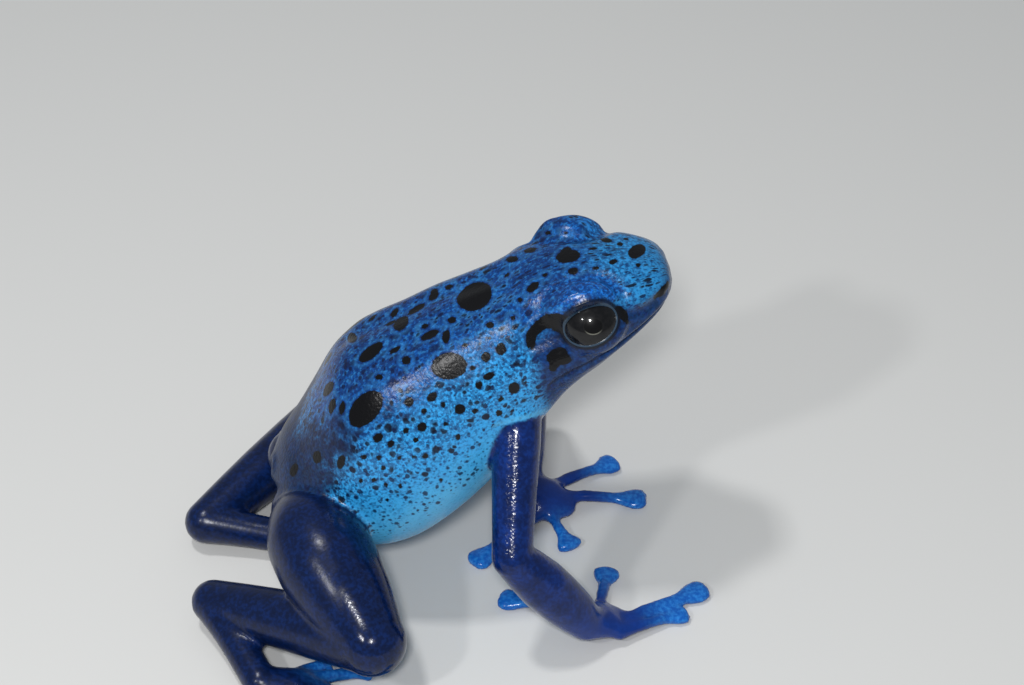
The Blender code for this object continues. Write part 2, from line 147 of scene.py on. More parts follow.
TOE_TIPS = {
    "right": [(-19.0, -14.0), (-15.9, -15.2), (-13.4, -18.4), (-11.2, -21.0), (-16.4, -21.8)],
    "left": [(-12.9, 1.6), (-11.6, 4.4), (-11.0, 6.8), (-10.9, 9.2), (-14.5, 7.8)],
}

# Limb thickness: the radius at even steps from the first joint to the last
UPPER_ARM = (2.05, 2.05, 1.95, 1.85, 1.75, 1.7)
FOREARM = (1.7, 2.0, 2.2, 2.15, 1.95, 1.65)
THIGH = (2.4, 3.3, 4.1, 4.3, 3.8, 2.9)
SHANK = (2.8, 2.7, 2.6, 2.45, 2.2, 1.9)
TARSUS = (1.85, 1.65, 1.5, 1.45, 1.45, 1.45)
PALM = ((1.6, 1.85, 2.15, 2.2, 1.6), (1.5, 1.4, 1.2, 1.1, 0.8))
SOLE = ((1.45, 1.7, 2.0, 2.2, 1.6), (1.35, 1.25, 1.15, 1.1, 0.8))

# Digits: half widths and half heights from root to tip, the height of the axis, and
# where along the digit each stands
FINGER = (
    (0.75, 0.62, 0.53, 0.52, 0.64, 1.05, 1.22, 1.1, 0.65),
    (0.7, 0.6, 0.5, 0.46, 0.46, 0.48, 0.5, 0.46, 0.3),
    (1.05, 1.06, 0.96, 0.76, 0.56, 0.45, 0.42, 0.42, 0.38),
    (0.0, 0.2, 0.42, 0.6, 0.72, 0.81, 0.9, 0.96, 1.0),
)
TOE = (
    (0.75, 0.66, 0.58, 0.56, 0.62, 0.85, 0.95, 0.85, 0.5),
    (0.7, 0.62, 0.54, 0.5, 0.48, 0.46, 0.46, 0.42, 0.28),
    (1.0, 1.0, 0.9, 0.75, 0.58, 0.44, 0.4, 0.4, 0.36),
    (0.0, 0.25, 0.5, 0.7, 0.82, 0.89, 0.94, 0.98, 1.0),
)
DISK_SHARE = 0.9
DIGIT_ROOT_SHARE = 0.6
FINGER_ROOT_SPREAD = 1.2
TOE_ROOT_SPREAD = 0.85

# The sleeve of body skin over the top of the arm: how far its rings lie along the arm
# from the shoulder, their radii, and how the hem leans forward
SLEEVE_AT = (-3.0, -1.6, -0.4, 0.35)
SLEEVE_RADII = (2.9, 2.85, 2.5, 2.3)
SLEEVE_LEAN = 0.3

# Eyes and lids
EYE_AT = np.array([4.15, -4.4, 28.4])
EYE_RADIUS = 2.5
EYE_AXIS = np.array([-0.12, -0.839, 0.53])
PUPIL_AXIS = np.array([-0.02, -0.86, 0.51])
PUPIL_SIZE = (0.3, 0.25)
LID_SHIFT = np.array([-0.4, 0.1, 0.45])
LID_RADII = (3.55, 3.2, 3.15)
RIM_ANGLE = np.radians(61)
UPPER_RIM_ANGLES = (np.radians(37), np.radians(30))
LOWER_RIM_ANGLE = np.radians(41)
RIM_TILT = np.radians(25)
RIM_WIDTH = np.radians(7)
LID_TAPER = np.radians(14)
LID_EDGE = 0.1
UPPER_LID_EDGES = (0.7, 0.8)
SIDES = (np.ones(3), FAR_SIDE)
SOCKET_DEPTH = 0.4
# How far from the eyeball the skin is drawn in, from not at all to wholly
LID_REACH = (3.4, 1.8)
# How much wider the taper is under the eye than over it
LOWER_TAPER = 1.9

# Nostril, mouth and vent
NOSTRIL_AT = np.array([10.1, -2.45, 29.6])
MOUTH_LINE = [(11.6, 28.7), (10.8, 28.5), (8.6, 27.6), (5.4, 26.3), (2.6, 25.0), (0.4, 23.6)]
VENT_AT = np.array([-22.4, 0.0, 10.6])
# Where the mouth's corner fades out, by x, and each opening's groove and the lip round it:
# the groove's height and half width, the lip's height, its distance and its half width
MOUTH_CORNER = (0.2, 1.2)
MOUTH_FORM = (-0.26, 0.17, 0.07, 0.5, 0.3)
NOSTRIL_FORM = (-0.5, 0.3, 0.12, 0.55, 0.25)
VENT_FORM = (-0.5, 0.4, 0.15, 0.9, 0.4)

# Folds and marks that the photograph shows, by pixels in its 1024 x 685 frame.
# A fold has its points, its half width and its height, less than 0 for a groove.
FOLDS = [
    ([(553, 303), (560, 290), (576, 280), (596, 275), (614, 283), (621, 296)], 0.6, -0.22),
    ([(612, 309), (640, 302), (658, 289), (668, 280)], 0.5, 0.14),
    ([(618, 320), (640, 311), (656, 300)], 0.6, -0.2),
    ([(564, 318), (546, 321), (535, 333), (532, 348)], 0.5, -0.2),
    ([(566, 308), (548, 310), (534, 318), (525, 334)], 0.5, 0.14),
    ([(350, 382), (376, 360), (410, 343), (444, 326), (476, 308), (506, 290)], 1.2, -0.24),
    ([(372, 388), (404, 368), (440, 348), (480, 328), (512, 308)], 1.7, 0.24),
    ([(570, 372), (556, 388), (546, 402)], 0.9, -0.15),
]
# Where the height on the back is measured from, and the way that it grows
BACK_FROM = (-6.0, 0.0, 19.0)
BACK_WAY = np.array([-0.58, 0.0, 0.81])
# How bright a blue the near and far upper lids are
LID_BLUES = (1.0, 0.4)
EARDRUM = (557, 360)
EARDRUM_RADIUS = 0.95
EARDRUM_DEPTH = 0.1

# The distance in millimetres that stands for far from a mark
FAR = 4.0
# How far a repeated spot strays on the far side, and how near the middle line a spot has no copy
SPOT_STRAY = 0.5
MIDDLE_SPOT = 1.5
# How deep under the surface a spot still colours it, and the flattest view that it is laid by
SPOT_DEPTH = 2.5
FLATTEST_FACING = -0.35

# Black spots: pixel u and v, width and height in pixels, and the tilt of the width
SPOTS = [
    (637, 251, 19, 13, 28), (568, 256, 25, 13, 10), (573, 271, 11, 7, 10), (533, 287, 15, 8, 40),
    (474, 295, 37, 27, 25), (449, 366, 36, 27, 5), (365, 409, 43, 27, 50), (401, 323, 18, 11, 40),
    (371, 352, 30, 12, 38), (352, 338, 10, 10, 0), (430, 335, 20, 8, 25), (446, 336, 8, 14, -10),
    (425, 326, 9, 5, 20), (433, 297, 9, 7, 20), (512, 259, 13, 6, 5), (449, 287, 9, 5, 20),
    (328, 389, 17, 8, 60), (332, 406, 16, 7, 75), (342, 408, 14, 6, 80), (317, 457, 9, 13, 0),
    (341, 462, 8, 15, -15), (294, 470, 8, 14, -20), (514, 388, 12, 12, 0), (501, 349, 11, 13, 0),
    (486, 357, 10, 11, 0), (460, 409, 12, 11, 0), (479, 385, 8, 9, 0), (489, 376, 12, 8, 25),
    (499, 413, 7, 7, 0), (422, 427, 10, 10, 0), (406, 431, 7, 7, 0), (458, 437, 6, 7, 0),
    (432, 397, 12, 9, 40), (409, 402, 10, 10, 0), (406, 360, 9, 9, 0), (378, 438, 12, 9, 40),
    (391, 444, 8, 7, 30), (424, 411, 7, 6, 0), (443, 405, 6, 6, 0), (475, 411, 7, 6, 0),
    (501, 399, 7, 6, 0), (416, 440, 6, 6, 0), (446, 424, 6, 5, 0), (395, 350, 14, 5, 30),
    (414, 457, 5, 6, 0), (364, 457, 7, 6, 0), (379, 458, 6, 6, 0), (400, 458, 5, 5, 0),
    (425, 456, 7, 6, 0), (383, 468, 6, 5, 0), (374, 480, 6, 5, 0), (400, 486, 5, 5, 0),
    (386, 485, 5, 5, 0), (361, 481, 5, 5, 0), (387, 500, 4, 4, 0), (441, 480, 5, 4, 0),
    (452, 320, 9, 7, 10), (465, 345, 7, 5, 0), (490, 325, 9, 7, 0), (473, 368, 6, 6, 0),
    (545, 275, 6, 4, 20), (596, 268, 8, 4, 0), (613, 262, 9, 5, 10), (606, 240, 12, 5, -10),
    (620, 244, 7, 4, 0), (638, 265, 6, 4, -20), (548, 233, 6, 4, 0), (566, 233, 5, 3, 0),
    (507, 275, 6, 4, 20), (520, 300, 6, 5, 0), (513, 318, 6, 5, 0), (379, 377, 9, 6, 10),
]
# Black strokes: the points of the middle line, and the half width in millimetres at each
STROKES = [
    ([(566, 325), (558, 322), (550, 320), (539, 326), (531, 335), (531, 346)],
     (0.95, 0.95, 0.65, 0.5, 0.45, 0.35)),
    ([(619, 311), (624, 316), (627, 322)], (0.45, 0.45, 0.2)),
    ([(553, 357), (560, 355), (566, 360)], (0.58, 0.68, 0.45)),
    ([(556, 361), (553, 368)], (0.6, 0.35)),
    ([(656, 296), (663, 291), (668, 284)], (0.3, 0.4, 0.25)),
]
# The border of the darker cheek and lip, from the throat round the eye to the snout
CHEEK_EDGE = [
    (553, 404), (545, 388), (541, 364), (535, 346), (560, 330),
    (590, 345), (618, 314), (640, 308), (655, 298), (668, 284),
]
# The rest of the cheek's outline, under the jaw, by x and z in millimetres
CHEEK_UNDER = [(14.0, 27.0), (9.0, 20.0), (2.0, 16.0)]


def metres(points):
    """Points in millimetres in the frog's frame, in metres in the row's frame."""
    return (np.asarray(points, float) - MIDDLE) * MM


def smooth_rows(rows, steps):
    """Rows of numbers with more put between them on a smooth curve."""
    rows = np.asarray(rows, float)
    ends = np.vstack([2 * rows[0] - rows[1], rows, 2 * rows[-1] - rows[-2]])
    made = []
    for a, b, c, d in zip(ends, ends[1:], ends[2:], ends[3:]):
        for t in np.arange(steps) / steps:
            bend = 2 * a - 5 * b + 4 * c - d
            turn = 3 * b - a - 3 * c + d
            made.append(0.5 * (2 * b + (c - a) * t + bend * t**2 + turn * t**3))
    return np.array([*made, rows[-1]])


def tube(rings):
    """A closed tube: a grid wrapped round through rings of points."""
    rings = np.array(rings)
    count, sides = rings.shape[:2]
    bm = bmesh.new()
    bmesh.ops.create_grid(bm, x_segments=sides, y_segments=count - 1, size=1.0)
    wrapped = np.concatenate([rings, rings[:, :1]], axis=1).reshape(-1, 3)
    for vert, place in zip(bm.verts, wrapped):
        vert.co = place
    bmesh.ops.remove_doubles(bm, verts=bm.verts, dist=0.001)
    bmesh.ops.holes_fill(bm, edges=[e for e in bm.edges if e.is_boundary])
    bmesh.ops.recalc_face_normals(bm, faces=bm.faces)
    return bm


def body_tube():
    """The trunk and head: sections of unlike squareness above and below."""
    rings = []
    angles = np.linspace(0, 2 * np.pi, BODY_SIDES, endpoint=False)
    for top_x, top_z, low_x, low_z, half_width, widest, back, belly in smooth_rows(BODY, BODY_STEPS):
        low = np.array([low_x, 0.0, low_z])
        rise = np.array([top_x, 0.0, top_z]) - low
        height = np.linalg.norm(rise)
        above = np.sin(angles) >= 0
        power = 2 / np.where(above, back, belly)
        across = half_width * np.sign(np.cos(angles)) * np.abs(np.cos(angles)) ** power
        reach = height * np.where(above, 1 - widest, widest)
        lift = reach * np.sign(np.sin(angles)) * np.abs(np.sin(angles)) ** power
        rings.append(low + np.outer(height * widest + lift, rise / height) + np.outer(across, (0, 1, 0)))
    return tube(rings)


def frame_along(direction):
    """Two unit vectors square to a direction, the first one level."""
    level = np.cross((0.0, 0.0, 1.0), direction)
    level /= np.linalg.norm(level)
    upright = np.cross(direction, level)
    return level, upright / np.linalg.norm(upright)


def oval(centre, level, upright, half_width, half_height, sides):
    angles = np.linspace(0, 2 * np.pi, sides, endpoint=False)
    across = np.outer(np.cos(angles), level) * half_width
    return centre + across + np.outer(np.sin(angles), upright) * half_height


def limb_tube(path, radii):
    """A limb segment through two or three joints, round at both ends."""
    way = smooth_rows(path, LIMB_STEPS // (len(path) - 1))
    turns = np.gradient(way, axis=0)
    turns /= np.linalg.norm(turns, axis=1)[:, None]
    size = np.interp(np.linspace(0, 1, len(way)), np.linspace(0, 1, len(radii)), radii)
    arcs = np.linspace(0, np.pi / 2, CAP_STEPS, endpoint=False)[1:]
    stops = [(way[0] - turns[0] * radii[0] * np.cos(a), turns[0], radii[0] * np.sin(a)) for a in arcs]
    stops += list(zip(way, turns, size))
    stops += [(way[-1] + turns[-1] * radii[-1] * np.sin(a), turns[-1], radii[-1] * np.cos(a)) for a in arcs]
    return tube([oval(at, *frame_along(turn), r, r, LIMB_SIDES) for at, turn, r in stops])


def slab_tube(start, end, widths, heights):
    """A palm or sole: flat ovals along a short way, round at both ends."""
    start, end = np.array(start), np.array(end)
    direction = (end - start) / np.linalg.norm(end - start)
    level, upright = frame_along(direction)
    profile = smooth_rows(np.array([np.linspace(0, 1, len(widths)), widths, heights]).T, 6)
    arcs = np.linspace(0, np.pi / 2, CAP_STEPS, endpoint=False)[1:]
    rings = [
        oval(start - direction * widths[0] * np.cos(a), level, upright,
             widths[0] * np.sin(a), heights[0] * np.sin(a), LIMB_SIDES) for a in arcs
    ]
    for share, half_width, half_height in profile:
        rings.append(oval(start + (end - start) * share, level, upright, half_width, half_height, LIMB_SIDES))
    rings += [
        oval(end + direction * widths[-1] * np.sin(a), level, upright,
             widths[-1] * np.cos(a), heights[-1] * np.cos(a), LIMB_SIDES) for a in arcs
    ]
    return tube(rings)


def digit_tube(root, tip, shape):
    """A finger or toe: a thin rod that ends in a flat disk."""
    start = np.array([root[0], root[1], 0.0])
    way = np.array([*tip, 0.0]) - start
    direction = way / np.linalg.norm(way)
    level, _ = frame_along(direction)
    widths, heights, axis, shares = shape
    rings = []
    for share, half_width, half_height, height in smooth_rows(np.array([shares, widths, heights, axis]).T, 4):
        centre = start + way * share / DISK_SHARE + (0, 0, height)
        rings.append(oval(centre, level, (0, 0, 1), half_width, half_height, DIGIT_SIDES))
    return tube(rings)


def digits(back, front, tips, spread, shape):
    """Fingers or toes that fan out of a palm or sole."""
    back, front = np.array(back), np.array(front)
    way = front - back
    level, _ = frame_along(way / np.linalg.norm(way))
    middle = (len(tips) - 1) / 2
    side_of_first = np.sign(np.dot(np.array([*tips[0], 0.0]) - front, level))
    made = []
    for number, tip in enumerate(tips):
        root = back + way * DIGIT_ROOT_SHARE + side_of_first * level * (middle - number) * spread
        made.append(digit_tube(root, tip, shape))
    return made


def sleeve(sign):
    """The way along the upper arm from the shoulder, and the lean of the hem's plane."""
    side = "right" if sign < 0 else "left"
    start = np.array(SHOULDER) * (1, sign, 1)
    way = np.array(JOINTS[side]["elbow"]) - start
    way /= np.linalg.norm(way)
    plane = way + np.array([SLEEVE_LEAN, 0.0, 0.0])
    return start, way, plane / np.linalg.norm(plane)


def sleeve_tube(sign):
    start, way, plane = sleeve(sign)
    rings = []
    for reach, radius in smooth_rows(np.array([SLEEVE_AT, SLEEVE_RADII]).T, 6):
        rings.append(oval(start + way * reach, *frame_along(plane), radius, radius, LIMB_SIDES))
    return tube(rings)


def lid_ball(sign):
    bm = bmesh.new()
    bmesh.ops.create_uvsphere(bm, u_segments=BODY_SIDES, v_segments=BODY_SIDES // 2, radius=1.0)
    place = (EYE_AT + LID_SHIFT) * (1, -sign, 1)
    bmesh.ops.scale(bm, verts=bm.verts, vec=LID_RADII)
    bmesh.ops.translate(bm, verts=bm.verts, vec=Vector(place))
    return bm


def flesh():
    """All the forms of the frog, joined into one mesh but not yet fused."""
    forms = [body_tube()]
    for side, sign in (("right", -1), ("left", 1)):
        at = JOINTS[side]
        forms.append(lid_ball(sign))
        forms.append(sleeve_tube(sign))
        forms.append(limb_tube([np.array(SHOULDER) * (1, sign, 1), at["elbow"]], UPPER_ARM))
        forms.append(limb_tube([at["elbow"], at["wrist"]], FOREARM))
        forms.append(slab_tube(at["wrist"], at["knuckles"], *PALM))
        forms += digits(at["wrist"], at["knuckles"], FINGER_TIPS[side], FINGER_ROOT_SPREAD, FINGER)
        forms.append(limb_tube([np.array(HIP) * (1, sign, 1), at["mid_thigh"], at["knee"]], THIGH))
        forms.append(limb_tube([at["knee"], at["heel"]], SHANK))
        forms.append(limb_tube([at["heel"], at["ankle"]], TARSUS))
        forms.append(slab_tube(at["ankle"], at["sole"], *SOLE))
        forms += digits(at["ankle"], at["sole"], TOE_TIPS[side], TOE_ROOT_SPREAD, TOE)
    whole = bmesh.new()
    for form in forms:
        part = bpy.data.meshes.new("form")
        form.to_mesh(part)
        form.free()
        whole.from_mesh(part)
        bpy.data.meshes.remove(part)
    mesh = bpy.data.meshes.new("flesh")
    whole.to_mesh(mesh)
    whole.free()
    return mesh


def fuse(mesh):
    """Remeshes the joined forms into one closed surface of even squares."""
    holder = bpy.data.objects.new("flesh", mesh)
    bpy.context.scene.collection.objects.link(holder)
    remesh = holder.modifiers.new("fuse", "REMESH")
    remesh.mode = "VOXEL"
    remesh.voxel_size = VOXEL
    seen = holder.evaluated_get(bpy.context.evaluated_depsgraph_get())
    fused = bpy.data.meshes.new_from_object(seen)
    bpy.data.objects.remove(holder)
    bpy.data.meshes.remove(mesh)
    return fused


def refine(mesh, chosen):
    """Splits the edges between chosen vertices, for finer squares there."""
    bm = bmesh.new()
    bm.from_mesh(mesh)
    bm.verts.ensure_lookup_table()
    edges = [e for e in bm.edges if chosen[e.verts[0].index] and chosen[e.verts[1].index]]
    bmesh.ops.subdivide_edges(bm, edges=edges, cuts=1, use_grid_fill=True)
    bmesh.ops.triangulate(bm, faces=[f for f in bm.faces if len(f.verts) > 4])
    bm.to_mesh(mesh)
    bm.free()


def read_points(mesh, kind="co"):
    values = np.empty(len(mesh.vertices) * 3, np.float32)
    mesh.vertices.foreach_get(kind, values)
    return values.reshape(-1, 3).astype(float)


def write_points(mesh, points):
    mesh.vertices.foreach_set("co", points.astype(np.float32).ravel())
    mesh.update()


def relax(mesh, weight, rounds, swell=0.0):
    """Moves each point towards its neighbours by its weight. Swell undoes the shrinking."""
    edges = np.empty(len(mesh.edges) * 2, np.int32)
    mesh.edges.foreach_get("vertices", edges)
    first, second = edges.reshape(-1, 2).T
    points = read_points(mesh)
    count = np.bincount(edges, minlength=len(points))[:, None]
    weight = np.broadcast_to(np.asarray(weight, float), len(points))[:, None]
    for turn in range(rounds):
        for pull in ([0.5, -swell] if swell else [0.5]):
            total = np.zeros_like(points)
            for axis in range(3):
                total[:, axis] = np.bincount(first, points[second, axis], len(points))
                total[:, axis] += np.bincount(second, points[first, axis], len(points))
            points += weight * pull * (total / count - points)
    write_points(mesh, points)


def camera_frame():
    """The camera's place and its unit vectors forward, right and up, in the frog's frame."""
    look = np.array([
        -np.sin(AZIMUTH) * np.cos(ELEVATION), np.cos(AZIMUTH) * np.cos(ELEVATION), -np.sin(ELEVATION)
    ])
    right = np.array([np.cos(AZIMUTH), np.sin(AZIMUTH), 0.0])
    return AIM - look * DISTANCE, look, right, np.cross(right, look)


class Skin:
    """The skin's surface, with what the photograph's pixels fall on."""

    def __init__(self, mesh):
        self.mesh = mesh
        bm = bmesh.new()
        bm.from_mesh(mesh)
        self.tree = BVHTree.FromBMesh(bm)
        bm.free()

    def under(self, u, v):
        """The point of the near surface that shows at a pixel, and its normal."""
        eye, look, right, up = camera_frame()
        ray = look + right * (u - PHOTO_SIZE[0] / 2) / FOCAL - up * (v - PHOTO_SIZE[1] / 2) / FOCAL
        hit, normal, _, _ = self.tree.ray_cast(Vector(eye), Vector(ray).normalized())
        if hit is None:
            raise ValueError(f"pixel {u}, {v} is off the frog")
        return np.array(hit), np.array(normal)


def stroke_distance(points, line, widths):
    """Signed distance from points to a line that is widths thick, below 0 inside."""
    nearest = np.full(len(points), 1e3)
    for start, end, first, last in zip(line, line[1:], widths, widths[1:]):
        way = end - start
        share = np.clip((points - start) @ way / (way @ way), 0, 1)
        gap = np.linalg.norm(points - start - share[:, None] * way, axis=1)
        nearest = np.minimum(nearest, gap - first - (last - first) * share)
    return nearest


def step(low, high, value):
    """A smooth step from 0 at low to 1 at high."""
    t = np.clip((value - low) / (high - low), 0, 1)
    return t * t * (3 - 2 * t)


def near_side(points):
    """The points with the frog's left half folded over onto its right."""
    return points * np.where(points[:, 1:2] > 0, FAR_SIDE, 1.0)


def carve_folds(skin):
    """Grooves and ridges of the head and trunk, alike on both sides."""
    mesh = skin.mesh
    lines = [[skin.under(u, v)[0] for u, v in pixels] for pixels, _, _ in FOLDS]
    points, normals = read_points(mesh), read_points(mesh, "normal")
    folded = near_side(points)
    lift = np.zeros(len(points))
    for line, (_, width, height) in zip(lines, FOLDS):
        line = smooth_rows(line, 5)
        away = stroke_distance(folded, line, np.zeros(len(line)))
        lift += height * np.exp(-((away / width) ** 2))
    drum, _ = skin.under(*EARDRUM)
    away = np.linalg.norm(folded - drum, axis=1)
    lift -= EARDRUM_DEPTH * step(EARDRUM_RADIUS, EARDRUM_RADIUS * 0.7, away)
    write_points(mesh, points + normals * lift[:, None])


def lipped_groove(away, form):
    """The height of a groove with a lip along it, by the distance from its middle."""
    depth, width, lip, lip_at, lip_width = form
    return depth * np.exp(-((away / width) ** 2)) + lip * np.exp(-(((away - lip_at) / lip_width) ** 2))


def carve_mouth(mesh):
    """The line of the mouth between the lips, the nostrils and the vent."""
    points, normals = read_points(mesh), read_points(mesh, "normal")
    folded = near_side(points)
    line = smooth_rows([(x, 0.0, z) for x, z in MOUTH_LINE], 6)
    flat = folded * (1, 0, 1)
    away = stroke_distance(flat, line, np.zeros(len(line)))
    lift = step(*MOUTH_CORNER, folded[:, 0]) * lipped_groove(away, MOUTH_FORM)
    for place, form in ((NOSTRIL_AT, NOSTRIL_FORM), (VENT_AT, VENT_FORM)):
        lift += lipped_groove(np.linalg.norm(folded - place, axis=1), form)
    write_points(mesh, points + normals * lift[:, None])


def lid_places(points, side):
    """Each point's place by an eye: the way to it, how far, and the angle out from the rim."""
    mirror = SIDES[side]
    axis = EYE_AXIS * mirror
    away = points - EYE_AT * mirror
    reach = np.linalg.norm(away, axis=1)
    angle = np.arccos(np.clip(away @ axis / reach, -1, 1))
    _, upright = frame_along(axis)
    forward = np.cross(upright, axis) * SIDES[side][1]
    flat = reach * np.sin(angle) + 1e-6
    along = away @ (forward * np.cos(RIM_TILT) + upright * np.sin(RIM_TILT)) / flat
    rise = away @ (upright * np.cos(RIM_TILT) - forward * np.sin(RIM_TILT)) / flat
    tall = np.where(rise > 0, UPPER_RIM_ANGLES[side], LOWER_RIM_ANGLE)
    rim = 1 / np.hypot(along / RIM_ANGLE, rise / tall)
    upper = step(0.15, 0.95, rise)
    return away, reach, angle - rim, upper


def open_lids(mesh):
    """Draws the skin in to a thin rim round each eye and sinks it behind the eyeball."""
    points = read_points(mesh)
    for side in (0, 1):
        away, reach, out, upper = lid_places(points, side)
        near = step(*(EYE_RADIUS + edge for edge in LID_REACH), reach)
        taper = step(LID_TAPER * (LOWER_TAPER - (LOWER_TAPER - 1.0) * upper), 0.0, out) * near
        inside = step(0.0, -RIM_WIDTH, out) * near
        edge = EYE_RADIUS + LID_EDGE + (UPPER_LID_EDGES[side] - LID_EDGE) * upper
        wanted = reach + (edge - reach) * taper
        wanted += (EYE_RADIUS - SOCKET_DEPTH - wanted) * inside
        points += away * ((wanted / reach) - 1)[:, None]
    write_points(mesh, points)


def add_mark(mesh, name, values):
    layer = mesh.attributes.new(name, "FLOAT", "POINT")
    layer.data.foreach_set("value", np.asarray(values, np.float32))


def add_sheet(mesh, points):
    """The skin laid flat: millimetres along the body, and round it from the back."""
    rows = smooth_rows(BODY, BODY_STEPS)
    axis = np.array([(rows[:, 0] + rows[:, 2]) / 2, np.zeros(len(rows)), (rows[:, 1] + rows[:, 3]) / 2]).T
    turns = np.gradient(axis, axis=0)
    turns /= np.linalg.norm(turns, axis=1)[:, None]
    lengths = np.concatenate([[0.0], np.cumsum(np.linalg.norm(np.diff(axis, axis=0), axis=1))])
    tree = KDTree(len(axis))
    for number, place in enumerate(axis):
        tree.insert(place, number)
    tree.balance()
    flat = points * (1, 0, 1)
    nearest = np.array([tree.find(place)[1] for place in flat])
    away = flat - axis[nearest]
    turn = turns[nearest]
    along = lengths[nearest] + np.sum(away * turn, axis=1)
    upward = away[:, 2] * turn[:, 0] - away[:, 0] * turn[:, 2]
    around = np.arctan2(points[:, 1], upward) * SHEET_RADIUS
    layer = mesh.attributes.new("sheet", "FLOAT_VECTOR", "POINT")
    sheet = np.array([along, around, np.zeros(len(points))]).T
    layer.data.foreach_set("vector", sheet.astype(np.float32).ravel())


def inside_outline(flat, outline):
    """Signed distance to a closed outline, above 0 inside it."""
    inside = np.zeros(len(flat), bool)
    for (x0, y0), (x1, y1) in zip(outline, np.roll(outline, -1, axis=0)):
        crosses = (y0 > flat[:, 1]) != (y1 > flat[:, 1])
        inside ^= crosses & (flat[:, 0] < x0 + (flat[:, 1] - y0) * (x1 - x0) / (y1 - y0 + 1e-9))
    closed = np.vstack([outline, outline[:1]])
    away = stroke_distance(flat, closed, np.zeros(len(closed)))
    return np.where(inside, away, -away)


def spot_frames(skin):
    """For each black spot its middle and two half axes, laid on the skin."""
    made = []
    for u, v, width, height, tilt in SPOTS:
        turn = np.radians(tilt)
        middle, normal = skin.under(u, v)
        ways = ((np.cos(turn), -np.sin(turn)), (np.sin(turn), np.cos(turn)))
        axes = [skin_step(way, middle, normal) * size / 2 for size, way in zip((width, height), ways)]
        made.append((middle, normal, axes))
    return made


def skin_step(way, middle, normal):
    """How far one pixel reaches along the skin in a direction of the photograph."""
    eye, look, right, up = camera_frame()
    depth = (middle - eye) @ look
    flat = (right * way[0] - up * way[1]) * depth / FOCAL
    ray = (middle - eye) / np.linalg.norm(middle - eye)
    facing = min(ray @ normal, FLATTEST_FACING)
    return flat - ray * (flat @ normal) / facing


def mark_spots(skin, points, folded):
    """Signed distance to the black spots and strokes, which the far side repeats with a stray."""
    draws = np.random.default_rng(SEED)
    field = np.full(len(points), FAR)
    on_far_side = points[:, 1] > 0
    for middle, normal, axes in spot_frames(skin):
        sizes = [np.linalg.norm(a) for a in axes]
        products = np.array([[a @ b for a in axes] for b in axes])
        off_middle = abs(middle[1]) > MIDDLE_SPOT
        shift = draws.normal(0.0, SPOT_STRAY, 2) * off_middle
        strayed = middle + axes[0] / sizes[0] * shift[0] + axes[1] / sizes[1] * shift[1]
        copies = [(middle, points, True)]
        if off_middle:
            copies.append((strayed, folded, on_far_side))
        for centre, cloud, shown in copies:
            away = cloud - centre
            share = np.linalg.norm(np.linalg.solve(products, [away @ a for a in axes]), axis=0)
            value = (share - 1) * np.sqrt(sizes[0] * sizes[1])
            value += np.where(np.abs(away @ normal) > SPOT_DEPTH, FAR, 0.0)
            field = np.minimum(field, np.where(shown, value, FAR))
    for pixels, widths in STROKES:
        line = np.array([skin.under(u, v)[0] for u, v in pixels])
        field = np.minimum(field, stroke_distance(folded, line, widths))
    add_mark(skin.mesh, "spots", field)


def mark_limbs(mesh, points):
    """The dark rump, the limbs and the pale hem of the sleeve over each arm."""
    sideways = np.clip(np.abs(points[:, 1]) / 6.5, 0, 1)
    border = -17.6 - 2.2 * (1 - sideways) + 0.38 * sideways * np.maximum(points[:, 2] - 13.7, 0)
    add_mark(mesh, "rump", border - points[:, 0])

    own = nearest_gap(points, ["torso", "head"])
    limbs = nearest_gap(points, [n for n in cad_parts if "arm" in n or "thigh" in n])
    mask = np.where(own > FAR, 1.0, step(-0.25, 0.25, own - limbs))
    hem = np.full(len(points), FAR)
    for sign in (-1, 1):
        start, way, plane = sleeve(sign)
        along = (points - start) @ way
        off_axis = np.linalg.norm(points - start - along[:, None] * way, axis=1)
        past = (points - start - way * SLEEVE_AT[-1]) @ plane
        close = (off_axis < 4.6) & (along > -3.0) & (along < 7.0)
        mask = np.where(close, step(-0.02, 0.2, past) * step(2.5, 2.2, off_axis), mask)
        hem = np.where(close & (off_axis < 3.2) & (along < 3.0), past, hem)
    add_mark(mesh, "limb", mask)
    add_mark(mesh, "hem", hem)


def mark_back(mesh, points):
    """How high on the back each point is, with the crown raised, and the skin laid flat."""
    crown = 2.4 * np.exp(-(((points[:, 0] - 2.0) / 4.0) ** 2))
    add_mark(mesh, "back", (points - BACK_FROM) @ BACK_WAY + crown)
    add_sheet(mesh, points)


def mark_head(skin, points, folded):
    """The cheek, the eyes' rims, the upper lids and the groove of the crown, along which shade is painted."""
    mesh = skin.mesh
    outline = [skin.under(u, v)[0][[0, 2]] for u, v in CHEEK_EDGE]
    outline = np.array([*outline, *CHEEK_UNDER])
    cheek = inside_outline(points[:, [0, 2]], outline)
    add_mark(mesh, "cheek", np.where(points[:, 0] > -FAR, cheek, -FAR))

    rim, lid = np.full(len(points), FAR), np.zeros(len(points))
    for side in (0, 1):
        _, reach, out, upper = lid_places(points, side)
        rim = np.where(reach < EYE_RADIUS + 1.2, np.minimum(rim, out * EYE_RADIUS + 0.2 * upper), rim)
        own = step(1.7, 1.0, reach - EYE_RADIUS) * step(0.02, 0.3, upper)
        lid = np.maximum(lid, own * LID_BLUES[side])
    add_mark(mesh, "rim", rim)
    add_mark(mesh, "lid", lid)
    # The groove between each upper lid and the crown, for the painted shade laid along it
    groove = smooth_rows([skin.under(u, v)[0] for u, v in FOLDS[0][0]], 5)
    add_mark(mesh, "groove_shade", stroke_distance(folded, groove, np.zeros(len(groove))))


